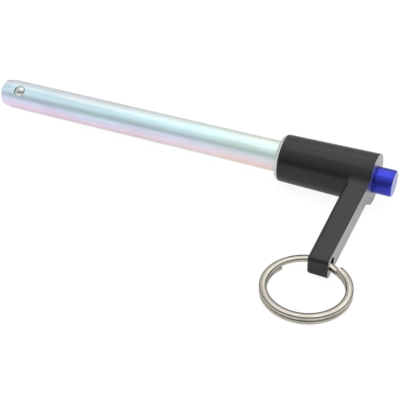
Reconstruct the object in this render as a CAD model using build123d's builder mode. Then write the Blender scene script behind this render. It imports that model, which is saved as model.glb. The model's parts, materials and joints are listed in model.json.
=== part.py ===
from build123d import *
import os
from math import asin, atan2, cos, hypot, radians, sin, tan

os.makedirs("parts", exist_ok=True)

# An L-handle ball lock pin. A plated steel shank is pressed into a cast aluminium handle.
# The button at the back pushes a grooved spindle towards the tip, which lets two balls
# near the tip drop in. A spring brings the spindle back and the balls out again.
# Millimetres. Stations are measured along the pin from the handle's front face,
# positive towards the tip. "Level" is the distance from the pin's axis.

# ---- driving dimensions -------------------------------------------------------------
shank_diameter = 9.525        # 3/8 inch shank
shank_reach = 99.5            # handle's front face to the tip
nose_length = 3.0             # gentle lead at the tip
nose_depth = 0.5
nose_edge = 0.3               # broken edge of the tip's flat end
tail_length = 17.0            # part of the shank held inside the handle
tail_chamfer = 0.6
bond_groove_width = 1.5       # groove for retaining compound, just inside the handle
bond_groove_depth = 0.25
end_taper = 0.05              # the end with the balls tapers in by this, so that no
                              # staked mouth stands out of the pin's size

ball_diameter = 3.97          # 5/32 inch balls
ball_inset = 7.3              # tip to the balls' centres, along the pin
taper_lead = 2.3              # the taper starts this far behind the balls' centres
ball_protrusion = 0.85        # how far a locked ball stands out of the shank
ball_turn = 53.0              # degrees from the arm's side round to the upper side
ball_gap = 0.03               # between a ball and its seat
mouth_radius = 1.98           # staked mouth round each ball
mouth_depth = 0.32

hub_length = 29.5
hub_front_diameter = 14.4
casting_draft = 0.9           # degrees
rim_radius = 1.6              # rounded front rim of the hub
wall_behind_button = 3.2

arm_reach = 42.3              # pin axis to the arm's end
arm_root_width = 6.5          # along the pin
arm_end_width = 5.85
arm_thickness = 6.2
arm_edge = 0.9                # rounded front edges of the arm
arm_corner = 1.3              # rounded corners of its end
arm_blend = 4.0               # hollow blends between the arm's sides and the hub
ring_hole_diameter = 3.9
ring_hole_margin = 3.2        # from the arm's end to the hole's centre

button_diameter = 8.0
button_reach = 5.65           # out of the handle's back
button_travel = 3.5
button_edge = 0.35
flange_diameter = 9.2
flange_thickness = 1.6
button_clearance = 0.06

spindle_diameter = 4.0
spindle_clearance = 0.05
groove_diameter = 1.36        # where the balls drop in
groove_flat = 1.2
land_lead = 0.9               # land that goes on past a locked ball
spindle_end_gap = 0.6         # left at the blind end with the button pressed
stud_diameter = 3.0           # threaded stud that the button is screwed on
stud_length = 4.0

spring_wire = 0.7
spring_turns = 8.0
spring_pocket = 8.0           # depth of the spring's pocket in the shank's tail
spring_clearance = 0.25       # inside and outside the coil
seat_gap = 0.05               # between the spring and its seats

ring_outer_diameter = 24.0
ring_wire_width = 2.0
ring_wire_thickness = 1.15
ring_wire_corner = 0.35
ring_coil_gap = 0.05          # between the two layers
ring_shift = 0.15             # how far the ring has slid through its hole
ring_top_end = 31.0           # degrees from the hole to the upper end, past the button side
ring_low_end = -58.0          # degrees from the hole to the lower end, on the tip side
ring_step_start = -2.0        # where the wire starts to step down
ring_step_end = 29.0
ring_lift = 0.15              # height of the wire over the middle of its hole
floor_gap = 0.03              # left under what rests on the floor

# ---- sizes that follow ---------------------------------------------------------------
shank_radius = shank_diameter / 2
ball_radius = ball_diameter / 2
hub_front_radius = hub_front_diameter / 2
hub_rear_radius = hub_front_radius + hub_length * tan(radians(casting_draft))
rear_station = -hub_length
tail_station = -tail_length
ball_station = shank_reach - ball_inset
taper_station = ball_station - taper_lead
arm_front_station = rear_station + arm_root_width
arm_middle_station = rear_station + arm_end_width / 2
hole_level = arm_reach - ring_hole_margin
hole_radius = ring_hole_diameter / 2

chamber_radius = flange_diameter / 2 + button_clearance
flange_radius = flange_diameter / 2
flange_rear_station = rear_station + wall_behind_button
flange_front_station = flange_rear_station + flange_thickness
button_radius = button_diameter / 2
button_end_station = rear_station - button_reach

spindle_radius = spindle_diameter / 2
spindle_bore_radius = spindle_radius + spindle_clearance
groove_radius = groove_diameter / 2
locked_level = shank_radius + ball_protrusion - ball_radius
seat_radius = ball_radius + ball_gap
neck_level = shank_radius - mouth_depth
neck_radius = (seat_radius**2 - (neck_level - locked_level) ** 2) ** 0.5
middle_angle = atan2(neck_radius, neck_level - locked_level) / 2 + radians(45)
mouth_flare = (mouth_radius - neck_radius) / mouth_depth
outside_level = shank_radius + mouth_depth
land_radius = locked_level - ball_radius - ball_gap / 2
open_level = groove_radius + ball_radius + ball_gap
ball_travel = locked_level - open_level
ramp_slope = ball_travel / button_travel
ramp_level = locked_level - ball_gap - ball_radius * hypot(1, ramp_slope)
ramp_start = ball_station + (land_radius - ramp_level) / ramp_slope
ramp_end = ball_station - (ramp_level - groove_radius) / ramp_slope
groove_rear = ramp_end - groove_flat
spindle_front = ball_station + land_lead
bore_end = spindle_front + button_travel + spindle_end_gap
shoulder_rear = groove_rear - (spindle_radius - groove_radius)

spring_end_station = tail_station + spring_pocket
spring_pocket_radius = spindle_bore_radius + spring_wire + 2 * spring_clearance
spring_level = spindle_bore_radius + spring_wire / 2 + spring_clearance
spring_length = spring_end_station - flange_front_station

ring_coil_level = (ring_outer_diameter - ring_wire_width) / 2
ring_pitch = ring_wire_thickness + ring_coil_gap

# ---- how the pin lies ----------------------------------------------------------------
# It rests on the tip's shoulder, the hub's rounded front rim and the arm's end.
nose_shoulder = shank_reach - nose_length
rest_run = nose_shoulder + rim_radius
rest_rise = hub_front_radius - rim_radius - shank_radius
pitch = atan2(rest_rise, rest_run) + asin(rim_radius / hypot(rest_run, rest_rise))
axis_height = nose_shoulder * sin(pitch) + shank_radius * cos(pitch)
arm_corner_level = arm_reach - arm_edge
arm_corner_drop = arm_thickness / 2 - arm_edge
arm_corner_station = rear_station + arm_end_width - arm_edge
arm_room = (axis_height - arm_edge - arm_corner_station * sin(pitch)) / cos(pitch)
droop = asin(arm_room / hypot(arm_corner_level, arm_corner_drop)) - atan2(arm_corner_drop, arm_corner_level)

tip_way = Vector(-cos(pitch), 0, -sin(pitch))
level_arm_way = Vector(0, -1, 0)
level_up_way = tip_way.cross(level_arm_way)
arm_way = level_arm_way * cos(droop) - level_up_way * sin(droop)
up_way = tip_way.cross(arm_way)

# The origin is under the middle of the whole object, on the surface that it lies on.
tip_radius = shank_radius - nose_depth
tip_extent = shank_reach * cos(pitch) + tip_radius * sin(pitch)
button_extent = -button_end_station * cos(pitch) + button_radius * sin(pitch)

# The ring leans from its hole down to the floor.
hole_height = (
    axis_height
    + arm_middle_station * tip_way.Z
    + hole_level * arm_way.Z
    + ring_lift
)
lean_run = 2 * ring_coil_level + ring_wire_width / 2 - ring_wire_corner
lean_rise = ring_pitch + ring_wire_thickness / 2 - ring_wire_corner
lean_height = hole_height - ring_wire_corner - floor_gap
ring_lean = asin(lean_height / hypot(lean_run, lean_rise)) - atan2(lean_rise, lean_run)
ring_drop = ring_lean - droop
ring_way = arm_way * cos(ring_drop) - up_way * sin(ring_drop)
ring_up = tip_way.cross(ring_way)

near_extent = (
    hole_level * cos(droop)
    + (ring_coil_level + ring_outer_diameter / 2) * cos(ring_lean)
)
ring_extent = ring_outer_diameter / 2 - (arm_middle_station + ring_shift) * cos(pitch)
origin_x = (tip_extent - max(button_extent, ring_extent)) / 2
origin_y = (near_extent - hub_rear_radius) / 2
pin_origin = Vector(origin_x, origin_y, axis_height + floor_gap)

# Datum plane: X along the pin to the tip, Y along the arm, Z out of the arm's upper side.
pin = Plane(origin=pin_origin, x_dir=tip_way, z_dir=up_way)
pin_axis = Axis(pin.origin, tip_way)


def place(station, level=0.0, height=0.0):
    """A point given by its station, its level towards the arm and its height."""
    return pin.from_local_coords(Vector(station, level, height))


def across(station):
    """Plane across the pin: X along the arm, Y to the upper side, Z to the tip."""
    return Plane(origin=place(station), x_dir=arm_way, z_dir=tip_way)


def level_of(shape):
    """How far a shape's centre lies from the pin's axis, towards the arm's end."""
    return pin.to_local_coords(shape.center()).Y


def faces_tip(face):
    """Whether a face looks mainly towards the tip."""
    return face.normal_at().dot(tip_way) > 0.9


def ball_plane(turn):
    """Plane through the balls: X outwards along a ball's hole, Y along the pin."""
    outward = arm_way * cos(radians(turn)) + up_way * sin(radians(turn))
    return Plane(origin=place(ball_station), x_dir=outward, z_dir=outward.cross(tip_way))


# ---- shank ---------------------------------------------------------------------------
with BuildPart() as shank:
    with BuildSketch(pin):
        with BuildLine():
            Polyline(
                (spring_end_station, spindle_bore_radius),
                (spring_end_station, spring_pocket_radius),
                (tail_station, spring_pocket_radius),
                (tail_station, shank_radius - tail_chamfer),
                (tail_station + tail_chamfer, shank_radius),
                (-bond_groove_width, shank_radius),
                (-bond_groove_width, shank_radius - bond_groove_depth),
                (0, shank_radius - bond_groove_depth),
                (0, shank_radius),
                (taper_station, shank_radius),
                (nose_shoulder, shank_radius - end_taper),
                (shank_reach - nose_edge, tip_radius + nose_edge * nose_depth / nose_length),
                (shank_reach, tip_radius - nose_edge),
                (shank_reach, 0),
                (bore_end + spindle_bore_radius / 2, 0),
                (bore_end, spindle_bore_radius),
                close=True,
            )
        make_face()
    revolve(axis=pin_axis)
    # Each ball's hole: a straight bore, a round seat that stops the ball, and a staked mouth.
    for turn in (ball_turn, ball_turn + 180):
        hole_plane = ball_plane(turn)
        with BuildSketch(hole_plane):
            with BuildLine():
                Polyline((0, 0), (0, seat_radius), (locked_level, seat_radius))
                ThreePointArc(
                    (locked_level, seat_radius),
                    (locked_level + seat_radius * cos(middle_angle), seat_radius * sin(middle_angle)),
                    (neck_level, neck_radius),
                )
                Polyline(
                    (neck_level, neck_radius),
                    (outside_level, neck_radius + 2 * mouth_depth * mouth_flare),
                    (outside_level, 0),
                    (0, 0),
                )
            make_face()
        revolve(axis=Axis(hole_plane.origin, hole_plane.x_dir), mode=Mode.SUBTRACT)

# ---- handle --------------------------------------------------------------------------
with BuildPart() as handle:
    # The back's outline, with the arm blended into the hub, drawn forward with casting draft.
    with BuildSketch(across(rear_station)):
        Circle(hub_rear_radius)
        Rectangle(arm_reach, arm_thickness, align=(Align.MIN, Align.CENTER))
        fillet(vertices().filter_by(lambda v: 0 < v.X < arm_reach / 2), arm_blend)
        fillet(vertices().group_by(Axis.X)[-1], arm_corner)
    extrude(amount=arm_root_width, taper=casting_draft)
    # The arm gets narrower towards its end: its front is cut back.
    with BuildSketch(pin):
        with BuildLine():
            Polyline(
                (arm_front_station, hub_rear_radius),
                (rear_station + arm_end_width, arm_reach),
                (rear_station + arm_end_width, arm_reach + arm_edge),
                (0, arm_reach + arm_edge),
                (0, hub_rear_radius),
                close=True,
            )
        make_face()
    extrude(amount=arm_thickness, both=True, mode=Mode.SUBTRACT)
    arm_front = faces().filter_by(lambda f: faces_tip(f) and level_of(f) > hub_rear_radius)[0]
    fillet(arm_front.edges().filter_by(lambda e: level_of(e) > hub_rear_radius + 0.1), arm_edge)
    # The hub, drafted towards a rounded front rim.
    with BuildSketch(pin):
        with BuildLine():
            Polyline(
                (rear_station, 0),
                (rear_station, hub_rear_radius),
                (0, hub_front_radius),
                (0, 0),
                close=True,
            )
        make_face()
        fillet(vertices().group_by(Axis.X)[-1].sort_by(Axis.Y)[-1], rim_radius)
    revolve(axis=pin_axis)
    # Bore for the shank, a slightly narrower chamber for the button's flange, and the way out.
    with BuildSketch(pin):
        with BuildLine():
            Polyline(
                (0, 0),
                (0, shank_radius),
                (tail_station, shank_radius),
                (tail_station, chamber_radius),
                (flange_rear_station, chamber_radius),
                (flange_rear_station, button_radius + button_clearance),
                (rear_station, button_radius + button_clearance),
                (rear_station, 0),
                close=True,
            )
        make_face()
    revolve(axis=pin_axis, mode=Mode.SUBTRACT)
    with BuildSketch(across(rear_station)):
        with Locations((hole_level, 0)):
            Circle(hole_radius)
    extrude(amount=arm_root_width, mode=Mode.SUBTRACT)

# ---- spindle -------------------------------------------------------------------------
with BuildPart() as spindle:
    with BuildSketch(pin):
        with BuildLine():
            Polyline(
                (flange_front_station - stud_length, 0),
                (flange_front_station - stud_length, stud_diameter / 2),
                (flange_front_station, stud_diameter / 2),
                (flange_front_station, spindle_radius),
                (shoulder_rear, spindle_radius),
                (groove_rear, groove_radius),
                (ramp_end, groove_radius),
                (ramp_start, land_radius),
                (spindle_front, land_radius),
                (spindle_front, 0),
                close=True,
            )
        make_face()
    revolve(axis=pin_axis)

# ---- button --------------------------------------------------------------------------
with BuildPart() as button:
    with BuildSketch(pin):
        with BuildLine():
            Polyline(
                (button_end_station, 0),
                (button_end_station, button_radius),
                (flange_rear_station, button_radius),
                (flange_rear_station, flange_radius),
                (flange_front_station, flange_radius),
                (flange_front_station, stud_diameter / 2),
                (flange_front_station - stud_length, stud_diameter / 2),
                (flange_front_station - stud_length, 0),
                close=True,
            )
        make_face()
    revolve(axis=pin_axis)
    rim = edges().filter_by(GeomType.CIRCLE).sort_by(pin_axis)[0]
    chamfer(rim, button_edge)

# ---- locking balls -------------------------------------------------------------------
for number, turn in enumerate((ball_turn, ball_turn + 180), start=1):
    ball_centre = ball_plane(turn).from_local_coords(Vector(locked_level, 0, 0))
    with BuildPart() as ball:
        with Locations(ball_centre):
            Sphere(ball_radius)
    ball.part.label = f"lock_ball_{number}"
    export_step(ball.part, f"parts/lock_ball_{number}.step")

# ---- return spring -------------------------------------------------------------------
# A plain-ended coil between the shank's pocket and the button's flange.
with BuildPart() as return_spring:
    coil_length = spring_length - spring_wire - 2 * seat_gap
    with BuildLine():
        coil = Helix(
            pitch=coil_length / spring_turns,
            height=coil_length,
            radius=spring_level,
            center=place(flange_front_station + seat_gap + spring_wire / 2),
            direction=tip_way,
        )
    with BuildSketch(Plane(origin=coil @ 0, z_dir=coil % 0)):
        Circle(spring_wire / 2)
    sweep(is_frenet=True)

# ---- split ring ----------------------------------------------------------------------
ring_centre = (
    place(arm_middle_station + ring_shift, hole_level)
    + ring_way * ring_coil_level
    + Vector(0, 0, ring_lift)
)


def ring_section(angle, layer):
    """Plane across the ring's wire, at an angle from the hole round towards the button side."""
    outward = ring_way * -cos(radians(angle)) - tip_way * sin(radians(angle))
    along = ring_way * sin(radians(angle)) - tip_way * cos(radians(angle))
    centre = ring_centre + outward * ring_coil_level + ring_up * (layer * ring_pitch)
    return Plane(origin=centre, x_dir=outward, z_dir=along)


with BuildPart() as split_ring:
    ring_axis = Axis(ring_centre, ring_up * -1)
    # Upper layer, from its end round to the step.
    with BuildSketch(ring_section(ring_top_end, 0)):
        RectangleRounded(ring_wire_width, ring_wire_thickness, ring_wire_corner)
    revolve(axis=ring_axis, revolution_arc=360 + ring_step_start - ring_top_end)
    # The step down to the lower layer.
    step_turn = ring_step_end - ring_step_start
    for share in (0, 0.2, 0.4, 0.6, 0.8, 1):
        step_angle = ring_step_start + share * step_turn
        step_layer = -(1 - cos(radians(180 * share))) / 2
        with BuildSketch(ring_section(step_angle, step_layer)):
            RectangleRounded(ring_wire_width, ring_wire_thickness, ring_wire_corner)
    loft()
    # Lower layer, from the step round to its end.
    with BuildSketch(ring_section(ring_step_end, -1)):
        RectangleRounded(ring_wire_width, ring_wire_thickness, ring_wire_corner)
    revolve(axis=ring_axis, revolution_arc=360 + ring_low_end - ring_step_end)

# ---- names and files -----------------------------------------------------------------
shank.part.label = "shank"
export_step(shank.part, "parts/shank.step")

handle.part.label = "handle"
export_step(handle.part, "parts/handle.step")

spindle.part.label = "spindle"
export_step(spindle.part, "parts/spindle.step")

button.part.label = "button"
export_step(button.part, "parts/button.step")

return_spring.part.label = "return_spring"
export_step(return_spring.part, "parts/return_spring.step")

split_ring.part.label = "split_ring"
export_step(split_ring.part, "parts/split_ring.step")
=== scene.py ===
import json
from math import cos, pi, radians, sin

import bpy
from mathutils import Matrix, Vector


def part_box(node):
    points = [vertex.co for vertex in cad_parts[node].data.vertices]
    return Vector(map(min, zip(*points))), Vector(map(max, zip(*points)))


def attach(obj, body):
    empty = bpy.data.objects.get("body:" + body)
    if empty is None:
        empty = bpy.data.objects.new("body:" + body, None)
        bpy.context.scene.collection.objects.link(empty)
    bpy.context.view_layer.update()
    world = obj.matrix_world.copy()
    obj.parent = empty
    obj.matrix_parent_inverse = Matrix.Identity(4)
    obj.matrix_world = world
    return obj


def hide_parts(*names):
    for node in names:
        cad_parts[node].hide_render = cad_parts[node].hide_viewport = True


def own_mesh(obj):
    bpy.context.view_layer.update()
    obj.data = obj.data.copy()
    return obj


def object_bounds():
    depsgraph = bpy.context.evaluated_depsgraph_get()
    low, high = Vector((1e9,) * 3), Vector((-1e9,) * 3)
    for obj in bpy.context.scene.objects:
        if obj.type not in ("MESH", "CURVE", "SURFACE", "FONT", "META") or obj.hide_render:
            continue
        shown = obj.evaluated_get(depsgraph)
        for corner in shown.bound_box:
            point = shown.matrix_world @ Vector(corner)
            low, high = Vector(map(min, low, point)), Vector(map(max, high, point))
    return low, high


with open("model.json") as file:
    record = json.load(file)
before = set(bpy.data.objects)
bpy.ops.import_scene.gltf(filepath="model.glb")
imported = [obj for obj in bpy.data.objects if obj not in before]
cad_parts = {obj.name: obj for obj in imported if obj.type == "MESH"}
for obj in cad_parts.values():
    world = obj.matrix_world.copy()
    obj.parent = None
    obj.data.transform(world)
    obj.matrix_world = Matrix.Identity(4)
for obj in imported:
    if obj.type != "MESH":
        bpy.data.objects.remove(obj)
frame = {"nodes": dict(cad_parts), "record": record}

CAD_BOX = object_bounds()


# ---- the pin's own directions and sizes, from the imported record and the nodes' boxes ----------
def middle(node):
    low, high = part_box(node)
    return (Vector(low) + Vector(high)) / 2


MM = 0.001
JOINTS = {joint["name"]: joint for joint in frame["record"]["behaviour"]["joints"]}
MOUNTS = {mount["name"]: mount for mount in frame["record"]["mounts"]}
TIP = Vector(JOINTS["button_press"]["axis"]).normalized()
HOLE = Vector(JOINTS["ring_swing"]["pos_m"])
PIN_POINT = Vector(MOUNTS["shank_pin"]["pos_m"])
FACE_POINT = Vector(MOUNTS["handle_face"]["pos_m"])
# The middle of the hub's front face, on the pin's axis: stations are measured from it.
FRONT = PIN_POINT + TIP * (FACE_POINT - PIN_POINT).dot(TIP)
ARM = (HOLE - FRONT - TIP * (HOLE - FRONT).dot(TIP)).normalized()
UP = TIP.cross(ARM)
SHANK_RADIUS = MOUNTS["shank_pin"]["dims"]["r_mm"] * MM
BALL_STATION = (middle("lock_ball_1") - FRONT).dot(TIP)

# ---- sizes and places that the record doesn't give, as the CAD has them -----------------------
HUB_LENGTH = 29.5 * MM
RING_CENTRE = (0.057127, -0.0227576, 0.0027248)    # middle of the ring's upper layer
RING_AXIS = (-0.0247706, -0.0770384, 0.9967204)
RING_MEAN_RADIUS = 11.0 * MM
RING_PITCH = 1.2 * MM                              # from one layer to the other
RING_HALF_WIDTH = 1.0 * MM
RING_HALF_THICKNESS = 0.575 * MM


# ---- helpers ----------------------------------------------------------------------------------
class Nodes:
    """The node tree of a material or world, with short ways to add nodes to it."""

    def __init__(self, owner, output="ShaderNodeOutputMaterial"):
        owner.use_nodes = True
        self.owner = owner
        self.tree = owner.node_tree
        self.tree.nodes.clear()
        self.output = self.add(output)

    def add(self, kind, **values):
        node = self.tree.nodes.new(kind)
        for name, value in values.items():
            setattr(node, name, value)
        return node

    def put(self, value, socket):
        """Link a socket, or set a plain number, vector or colour."""
        if isinstance(value, bpy.types.NodeSocket):
            self.tree.links.new(value, socket)
        else:
            socket.default_value = value

    def put_all(self, values, node):
        """Put values into a node's first sockets, in order."""
        for value, socket in zip(values, node.inputs):
            self.put(value, socket)

    def place(self):
        """Object coordinates, which are the frame's metres."""
        return self.add("ShaderNodeTexCoord").outputs["Object"]

    def math(self, operation, *values):
        node = self.add("ShaderNodeMath", operation=operation)
        self.put_all(values, node)
        return node.outputs[0]

    def times(self, a, b):
        return self.math("MULTIPLY", a, b)

    def absolute(self, value):
        return self.math("ABSOLUTE", value)

    def vector(self, operation, *values):
        node = self.add("ShaderNodeVectorMath", operation=operation)
        self.put_all(values, node)
        return node.outputs["Value" if operation in ("DOT_PRODUCT", "LENGTH") else "Vector"]

    def along(self, direction):
        """Distance of a point from the hub's front face, along a direction, in metres."""
        return self.vector("DOT_PRODUCT", self.vector("SUBTRACT", self.place(), FRONT), direction)

    def level(self):
        """Distance of a point from the pin's axis, in metres."""
        squares = [self.math("POWER", self.along(direction), 2.0) for direction in (ARM, UP)]
        return self.math("SQRT", self.math("ADD", *squares))

    def inside(self, value, low, high):
        """1 where a value lies between two limits."""
        return self.times(self.math("GREATER_THAN", value, low), self.math("LESS_THAN", value, high))

    def facing(self, direction):
        """1 where the surface looks along a direction, -1 where it looks away."""
        normal = self.add("ShaderNodeNewGeometry").outputs["True Normal"]
        return self.vector("DOT_PRODUCT", normal, direction)

    def ramp(self, value, stops):
        """A colour ramp with stops of (position, colour), in order."""
        node = self.add("ShaderNodeValToRGB")
        elements = node.color_ramp.elements
        while len(elements) < len(stops):
            elements.new(0.5)
        for element, (position, colour) in zip(elements, stops):
            element.position = position
            element.color = (*colour, 1.0)
        self.put(value, node.inputs[0])
        return node.outputs["Color"]

    def span(self, value, low, high, new_low=0.0, new_high=1.0, smooth=False):
        """Carry a value from one range to another, held at both ends."""
        node = self.add("ShaderNodeMapRange")
        node.interpolation_type = "SMOOTHSTEP" if smooth else "LINEAR"
        self.put_all((value, low, high, new_low, new_high), node)
        return node.outputs[0]

    def noise(self, scale, detail=2.0, rough=0.5, stretch=None):
        """Noise of a scale in metres^-1; stretch multiplies it along TIP, ARM and UP."""
        node = self.add("ShaderNodeTexNoise")
        node.inputs["Detail"].default_value = detail
        node.inputs["Roughness"].default_value = rough
        node.inputs["Scale"].default_value = scale
        place = self.place()
        if stretch:
            mix = self.add("ShaderNodeCombineXYZ")
            self.put_all([self.times(self.along(direction), amount)
                          for direction, amount in zip((TIP, ARM, UP), stretch)], mix)
            place = mix.outputs[0]
        self.put(place, node.inputs["Vector"])
        return node.outputs["Fac"]

    def varied(self, noise, low=0.0, high=1.0):
        """Spread the middle of a noise, where most of it lies, over a range."""
        return self.span(noise, 0.3, 0.7, low, high)

    def mix(self, share, a, b, blend="MIX"):
        node = self.add("ShaderNodeMix", data_type="RGBA", blend_type=blend)
        self.put(share, node.inputs[0])
        for value, socket in ((a, node.inputs[6]), (b, node.inputs[7])):
            self.put((*value, 1.0) if isinstance(value, tuple) else value, socket)
        return node.outputs[2]

    def bump(self, height, distance, strength, under=None):
        """Relief on the plain surface, or on another relief."""
        node = self.add("ShaderNodeBump")
        node.inputs["Strength"].default_value = strength
        node.inputs["Distance"].default_value = distance
        self.put(height, node.inputs["Height"])
        if under:
            self.put(under, node.inputs["Normal"])
        return node.outputs["Normal"]

    def shader(self, kind="ShaderNodeBsdfPrincipled", **sockets):
        """A shader; the sockets' names use _ for spaces."""
        node = self.add(kind)
        for name, value in sockets.items():
            self.put(value, node.inputs[name.replace("_", " ")])
        return node.outputs[0]

    def either(self, share, first, second):
        """The second shader by a share, and the first one by the rest."""
        node = self.add("ShaderNodeMixShader")
        self.put_all((share, first, second), node)
        return node.outputs[0]

    def finish(self, shader):
        self.put(shader, self.output.inputs["Surface"])
        return self.owner


def new_material(name):
    return Nodes(bpy.data.materials.new(name))


def new_mesh(name, points, faces):
    mesh = bpy.data.meshes.new(name)
    mesh.from_pydata(points, [], faces)
    return mesh


def new_object(name, data):
    made = bpy.data.objects.new(name, data)
    bpy.context.scene.collection.objects.link(made)
    return made


# ---- materials --------------------------------------------------------------------------------
# The plating's colours round the pin, as shares of a turn that starts opposite the arm.
PLATING_BANDS = [
    (0.000, (0.74, 0.84, 0.90)), (0.070, (0.72, 0.89, 0.90)), (0.130, (0.82, 0.88, 0.84)),
    (0.190, (0.92, 0.82, 0.86)), (0.250, (0.82, 0.80, 0.93)), (0.320, (0.74, 0.88, 0.92)),
    (0.360, (0.86, 0.86, 0.84)), (0.407, (0.95, 0.78, 0.82)), (0.463, (0.92, 0.77, 0.86)),
    (0.495, (0.86, 0.79, 0.93)), (0.522, (0.80, 0.80, 0.95)), (0.558, (0.74, 0.86, 0.96)),
    (0.600, (0.72, 0.88, 0.92)), (0.680, (0.70, 0.89, 0.93)), (0.720, (0.76, 0.87, 0.88)),
    (0.780, (0.79, 0.82, 0.82)), (0.870, (0.76, 0.77, 0.76)), (0.930, (0.84, 0.79, 0.88)),
    (1.000, (0.74, 0.84, 0.90)),
]
# Its tint along the pin: yellower at the handle, bluer at the balls.
PLATING_DRIFT = [
    (0.00, (1.00, 0.99, 0.90)), (0.35, (0.98, 1.00, 0.99)),
    (0.70, (0.96, 0.98, 1.00)), (1.00, (0.95, 0.94, 1.00)),
]
DRIFT_LENGTH = 95 * MM
MOUTH_REACH = 2.3 * MM    # from a ball's centre, along the pin
MOUTH_DEPTH = 0.09 * MM
BACK_DEPTH = 0.3 * MM     # how far in from the hub's ends the casting is bare
RIM_DEPTH = 2.0 * MM


def plating_colour(n):
    """Soft bands of green, blue and pink round the pin, which wander and drift along it."""
    turn = n.math("ARCTAN2", n.along(UP), n.along(ARM))
    wobble = n.math("ADD", n.varied(n.noise(70, 3.0, 0.6, (0.35, 1, 1)), -0.26, 0.26),
                    n.varied(n.noise(600, 2.0, 0.5, (0.02, 1, 1)), -0.12, 0.12))
    bands = n.ramp(n.span(n.math("ADD", turn, wobble), -pi, pi), PLATING_BANDS)
    drift = n.math("ADD", n.span(n.along(TIP), 0.0, DRIFT_LENGTH),
                   n.varied(n.noise(90, 2.0, 0.5, (0.5, 1, 1)), -0.2, 0.2))
    vivid = n.add("ShaderNodeHueSaturation")
    vivid.inputs["Saturation"].default_value = 1.15
    vivid.inputs["Value"].default_value = 1.04
    n.put(n.mix(1.0, bands, n.ramp(drift, PLATING_DRIFT), "MULTIPLY"), vivid.inputs["Color"])
    return vivid.outputs["Color"]


def plated_steel():
    """Clear passivated zinc: pale metal with faint streaks and a fine grain."""
    n = new_material("plated_steel")
    speckle = n.varied(n.noise(2600, 3.0, 0.7), 0.97, 1.03)
    streaks = n.varied(n.noise(700, 2.0, 0.55, (0.015, 1, 1)), 0.88, 1.06)
    cloud = n.varied(n.noise(240, 3.0, 0.6, (0.4, 1, 1)), 0.95, 1.05)
    value = n.times(n.times(speckle, streaks), cloud)
    grey = n.add("ShaderNodeCombineColor")
    n.put_all((value, value, value), grey)
    colour = n.mix(1.0, plating_colour(n), grey.outputs[0], "MULTIPLY")
    # Painted shade: the staked mouths and the seats under them are darkened.
    near_balls = n.inside(n.along(TIP), BALL_STATION - MOUTH_REACH, BALL_STATION + MOUTH_REACH)
    sunk = n.math("LESS_THAN", n.level(), SHANK_RADIUS - MOUTH_DEPTH)
    colour = n.mix(n.times(near_balls, sunk), colour, (0.05, 0.05, 0.05))
    scratches = n.noise(900, 2.0, 0.6, (0.03, 1, 1))
    relief = n.math("ADD", n.times(scratches, 0.6), n.noise(3000, 2.0, 0.6))
    return n.finish(n.shader(
        Base_Color=colour, Metallic=0.60, Specular_IOR_Level=0.6,
        Roughness=n.span(n.noise(1200, 3.0, 0.6), 0.25, 0.75, 0.27, 0.40),
        Normal=n.bump(relief, 0.006 * MM, 0.2)))


def black_coat(n):
    """Satin black; the shading rounds the casting's corners, inner and outer ones alike."""
    grain = n.noise(2200, 4.0, 0.6)
    cloud = n.varied(n.noise(160, 2.0, 0.5), 0.85, 1.15)
    wear = n.span(n.noise(900, 4.0, 0.7), 0.62, 0.75)
    black = n.ramp(n.times(grain, cloud), [(0.2, (0.005, 0.005, 0.0048)), (0.8, (0.012, 0.012, 0.0115))])
    black = n.mix(n.times(wear, 0.25), black, (0.05, 0.05, 0.048))
    rounded = n.add("ShaderNodeBevel", samples=8)
    rounded.inputs["Radius"].default_value = 0.9 * MM
    return n.shader(
        Base_Color=black, Metallic=0.0, Roughness=n.varied(grain, 0.19, 0.28), Specular_IOR_Level=0.42,
        Normal=n.bump(grain, 0.020 * MM, 0.35, under=rounded.outputs["Normal"]))


def bare_metal(n):
    """Machined metal with its marks along the arm, painted lighter on the front half of the hub."""
    marks = n.noise(1500, 2.0, 0.6, (1, 0.15, 1))
    # Painted light: one machined metal in two tones, darker on the back face and lighter towards the
    # front.
    back = n.ramp(marks, [(0.25, (0.32, 0.32, 0.325)), (0.75, (0.45, 0.45, 0.455))])
    front = n.ramp(marks, [(0.25, (0.62, 0.62, 0.61)), (0.75, (0.76, 0.76, 0.75))])
    return n.shader(
        Base_Color=n.mix(n.math("GREATER_THAN", n.along(TIP), -HUB_LENGTH / 2), back, front),
        Metallic=1.0, Roughness=n.varied(marks, 0.28, 0.44), Normal=n.bump(marks, 0.010 * MM, 0.5))


def black_casting():
    """A black coat, with the back face and the front rim machined bare."""
    n = new_material("black_casting")
    face = n.facing(TIP)
    back = n.times(n.math("LESS_THAN", face, -0.9),
                   n.math("LESS_THAN", n.along(TIP), BACK_DEPTH - HUB_LENGTH))
    rim = n.times(n.math("GREATER_THAN", face, 0.16), n.math("GREATER_THAN", n.along(TIP), -RIM_DEPTH))
    return n.finish(n.either(n.math("MAXIMUM", back, rim), black_coat(n), bare_metal(n)))


def blue_anodised():
    """Turned aluminium, anodised a deep bright blue."""
    n = new_material("blue_anodised")
    turned = n.noise(4200, 2.0, 0.6, (1, 0.02, 0.02))
    colour = n.ramp(turned, [(0.25, (0.026, 0.034, 0.46)), (0.75, (0.040, 0.050, 0.54))])
    return n.finish(n.shader(
        Base_Color=colour, Metallic=0.9, Roughness=n.varied(turned, 0.12, 0.18),
        Coat_Weight=0.25, Coat_Roughness=0.12, Normal=n.bump(turned, 0.002 * MM, 0.3)))


def bright_steel(name, low, high, rough):
    """Bright metal with fine marks and a little colour variation."""
    n = new_material(name)
    marks = n.noise(1800, 3.0, 0.6)
    return n.finish(n.shader(
        Base_Color=n.mix(n.varied(n.noise(300, 2.0, 0.5)), low, high), Metallic=1.0,
        Roughness=n.varied(marks, rough - 0.05, rough + 0.06),
        Normal=n.bump(marks, 0.004 * MM, 0.4)))


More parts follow.
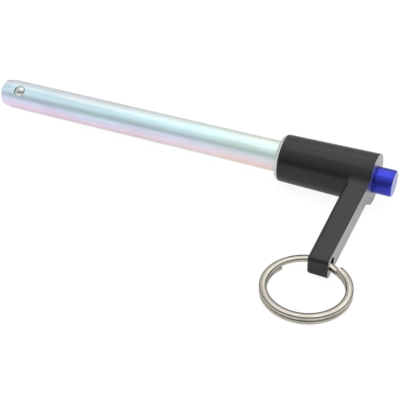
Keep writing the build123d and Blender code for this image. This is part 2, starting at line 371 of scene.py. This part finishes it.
def ring_steel():
    """Bright rolled wire: each flat of the wire is slightly crowned."""
    n = new_material("ring_steel")
    place = n.vector("SUBTRACT", n.place(), RING_CENTRE)
    height = n.vector("DOT_PRODUCT", place, RING_AXIS)
    squares = [n.math("POWER", length, 2.0) for length in (n.vector("LENGTH", place), height)]
    radius = n.math("SQRT", n.math("SUBTRACT", *squares))
    # From the middle of either layer's wire, across and up: 0 there and 1 at its sides.
    across = n.absolute(n.math("DIVIDE", n.math("SUBTRACT", radius, RING_MEAN_RADIUS), RING_HALF_WIDTH))
    own_height = n.math("WRAP", height, RING_PITCH / 2, -RING_PITCH / 2)
    rise = n.absolute(n.math("DIVIDE", own_height, RING_HALF_THICKNESS))
    fall = n.math("ADD", n.math("POWER", across, 2.0), n.times(n.math("POWER", rise, 2.0), 0.5))
    crown = n.bump(n.math("SUBTRACT", 2.0, fall), 0.32 * MM, 1.0)
    marks = n.noise(2400, 3.0, 0.6)
    colour = n.mix(n.varied(n.noise(300, 2.0, 0.5)), (0.48, 0.452, 0.39), (0.60, 0.565, 0.495))
    # Painted shade and reflection: the inner and outer sides are darkened towards their edges, and so
    # where the layers meet.
    painted_side_shade = n.times(n.math("GREATER_THAN", across, 0.7), n.span(rise, 0.45, 1.0, 0.0, 0.75, smooth=True))
    colour = n.mix(painted_side_shade, colour, (0.09, 0.085, 0.07))
    return n.finish(n.shader(
        Base_Color=colour, Metallic=1.0, Roughness=n.varied(marks, 0.13, 0.20),
        Normal=n.bump(marks, 0.004 * MM, 0.3, under=crown)))


ball_steel = bright_steel("ball_steel", (0.60, 0.60, 0.61), (0.70, 0.70, 0.70), 0.16)
MATERIALS = {
    "shank": plated_steel(),
    "handle": black_casting(),
    "button": blue_anodised(),
    "spindle": bright_steel("bare_steel", (0.50, 0.50, 0.50), (0.62, 0.62, 0.61), 0.30),
    "lock_ball_1": ball_steel,
    "lock_ball_2": ball_steel,
    "split_ring": ring_steel(),
}
for node, material in MATERIALS.items():
    piece = frame["nodes"][node]
    piece.data.materials.clear()
    piece.data.materials.append(material)


# ---- return spring: a closed-ended coil in place of the CAD's spring --------------------------
SPRING_WIRE_RADIUS = 0.35 * MM
SPRING_COIL_RADIUS = 2.65 * MM
SPRING_TURNS = 9
CLOSED_PITCH = 2.05    # of an end turn, in wire radii: the turns lie all but touching


def spring_travel(share, length):
    """How far along a coil of this length the wire has come, at a share of all its turns."""
    end_share = 1 / SPRING_TURNS
    end_travel = CLOSED_PITCH * SPRING_WIRE_RADIUS
    if share < end_share:
        return end_travel * share / end_share
    if share > 1 - end_share:
        return length - end_travel * (1 - share) / end_share
    return end_travel + (length - 2 * end_travel) * (share - end_share) / (1 - 2 * end_share)


def coil_mesh(back, front, steps=36, sides=12):
    """The coil's round wire, with its middle line between two stations on the pin's axis."""
    count = SPRING_TURNS * steps + 1
    points = []
    for index in range(count):
        share = index / (count - 1)
        turn = 2 * pi * SPRING_TURNS * share
        outward = ARM * cos(turn) + UP * sin(turn)
        centre = FRONT + TIP * (back + spring_travel(share, front - back)) + outward * SPRING_COIL_RADIUS
        for side in range(sides):
            round_wire = outward * cos(2 * pi * side / sides) + TIP * sin(2 * pi * side / sides)
            points.append(tuple(centre + round_wire * SPRING_WIRE_RADIUS))
    faces = []
    for start in range(0, (count - 1) * sides, sides):
        for side in range(sides):
            beside = (side + 1) % sides
            faces.append((start + side, start + beside, start + sides + beside, start + sides + side))
    faces.append(tuple(range(sides))[::-1])
    faces.append(tuple((count - 1) * sides + side for side in range(sides)))
    mesh = new_mesh("coil_spring", points, faces)
    mesh.shade_smooth()
    return mesh


def return_spring():
    stations = [(Vector(corner) - FRONT).dot(TIP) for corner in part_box("return_spring")]
    back, front = min(stations), max(stations)
    spring = new_object("coil_spring", coil_mesh(back + SPRING_WIRE_RADIUS, front - SPRING_WIRE_RADIUS))
    spring.data.materials.append(
        bright_steel("spring_wire", (0.42, 0.42, 0.43), (0.55, 0.55, 0.55), 0.30))
    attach(spring, "frame")
    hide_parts("return_spring")
    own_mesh(spring)


return_spring()

# ---- floor, background, light and camera ------------------------------------------------------
CAMERA_PLACE = Vector((0.10669, -0.20056, 0.14943))
CAMERA_LOOK = Vector((-0.34144, 0.75916, -0.55416))
CAMERA_ROLL = radians(2.06)
CAMERA_LENS = 82.58
LAMP_PLACE = Vector((0.05, 0.10, 0.55))
LAMP_SIZE = 0.7
LAMP_POWER = 1.0
WHITE = (1, 1, 1, 1)

# The studio's light round an arc from low in front, over the top, to low behind: degrees, level.
STUDIO_FRONT = -Vector((CAMERA_LOOK.x, CAMERA_LOOK.y, 0)).normalized()
STUDIO_LIGHT = [
    (0, 0.30), (18, 0.32), (34, 0.46), (58, 0.82), (85, 0.92),
    (120, 0.90), (145, 0.80), (166, 0.50), (180, 0.42),
]
FLOOR_HALF = 3.0
FLOOR_PAPER = (0.92, 0.92, 0.92, 1)
FLOOR_GLOW = 1.08
# How much of the floor is its own glow, as the camera sees it and as everything else does.
GLOW_IN_VIEW = 0.85
GLOW_ELSEWHERE = 0.40


def floor():
    base = CAD_BOX[0][2]
    corners = [(x * FLOOR_HALF, y * FLOOR_HALF, base) for x, y in ((-1, -1), (1, -1), (1, 1), (-1, 1))]
    surface = new_object("floor", new_mesh("floor", corners, [(0, 1, 2, 3)]))
    n = new_material("floor")
    paper = n.shader("ShaderNodeBsdfDiffuse", Color=FLOOR_PAPER)
    glow = n.shader("ShaderNodeEmission", Color=WHITE, Strength=FLOOR_GLOW)
    in_view = n.add("ShaderNodeLightPath").outputs["Is Camera Ray"]
    share = n.span(in_view, 0.0, 1.0, GLOW_ELSEWHERE, GLOW_IN_VIEW)
    surface.data.materials.append(n.finish(n.either(share, paper, glow)))


def background():
    """A studio: dark low in front, bright overhead, dimmer again low behind, and white in view."""
    world = bpy.data.worlds.new("studio")
    bpy.context.scene.world = world
    n = Nodes(world, "ShaderNodeOutputWorld")
    way = n.add("ShaderNodeTexCoord").outputs["Generated"]
    ahead = n.vector("DOT_PRODUCT", way, STUDIO_FRONT)
    height = n.vector("DOT_PRODUCT", way, (0, 0, 1))
    share = n.math("DIVIDE", n.math("ARCTAN2", height, ahead), pi)
    light = n.ramp(share, [(degrees / 180, (level, level, level)) for degrees, level in STUDIO_LIGHT])
    n.finish(n.either(
        n.add("ShaderNodeLightPath").outputs["Is Camera Ray"],
        n.shader("ShaderNodeBackground", Color=light),
        n.shader("ShaderNodeBackground", Color=WHITE)))


def overhead_light():
    data = bpy.data.lights.new("overhead", "AREA")
    data.size = LAMP_SIZE
    data.energy = LAMP_POWER
    lamp = new_object("overhead", data)
    lamp.location = LAMP_PLACE
    lamp.rotation_euler = (-LAMP_PLACE).to_track_quat("-Z", "Y").to_euler()


def camera():
    data = bpy.data.cameras.new("camera")
    data.sensor_width = 36.0
    data.lens = CAMERA_LENS
    eye = new_object("camera", data)
    turn = CAMERA_LOOK.to_track_quat("-Z", "Y").to_matrix().to_4x4()
    eye.matrix_world = Matrix.Translation(CAMERA_PLACE) @ turn @ Matrix.Rotation(CAMERA_ROLL, 4, "Z")
    bpy.context.scene.camera = eye


floor()
background()
overhead_light()
camera()

scene = bpy.context.scene
scene.view_settings.view_transform = "Standard"
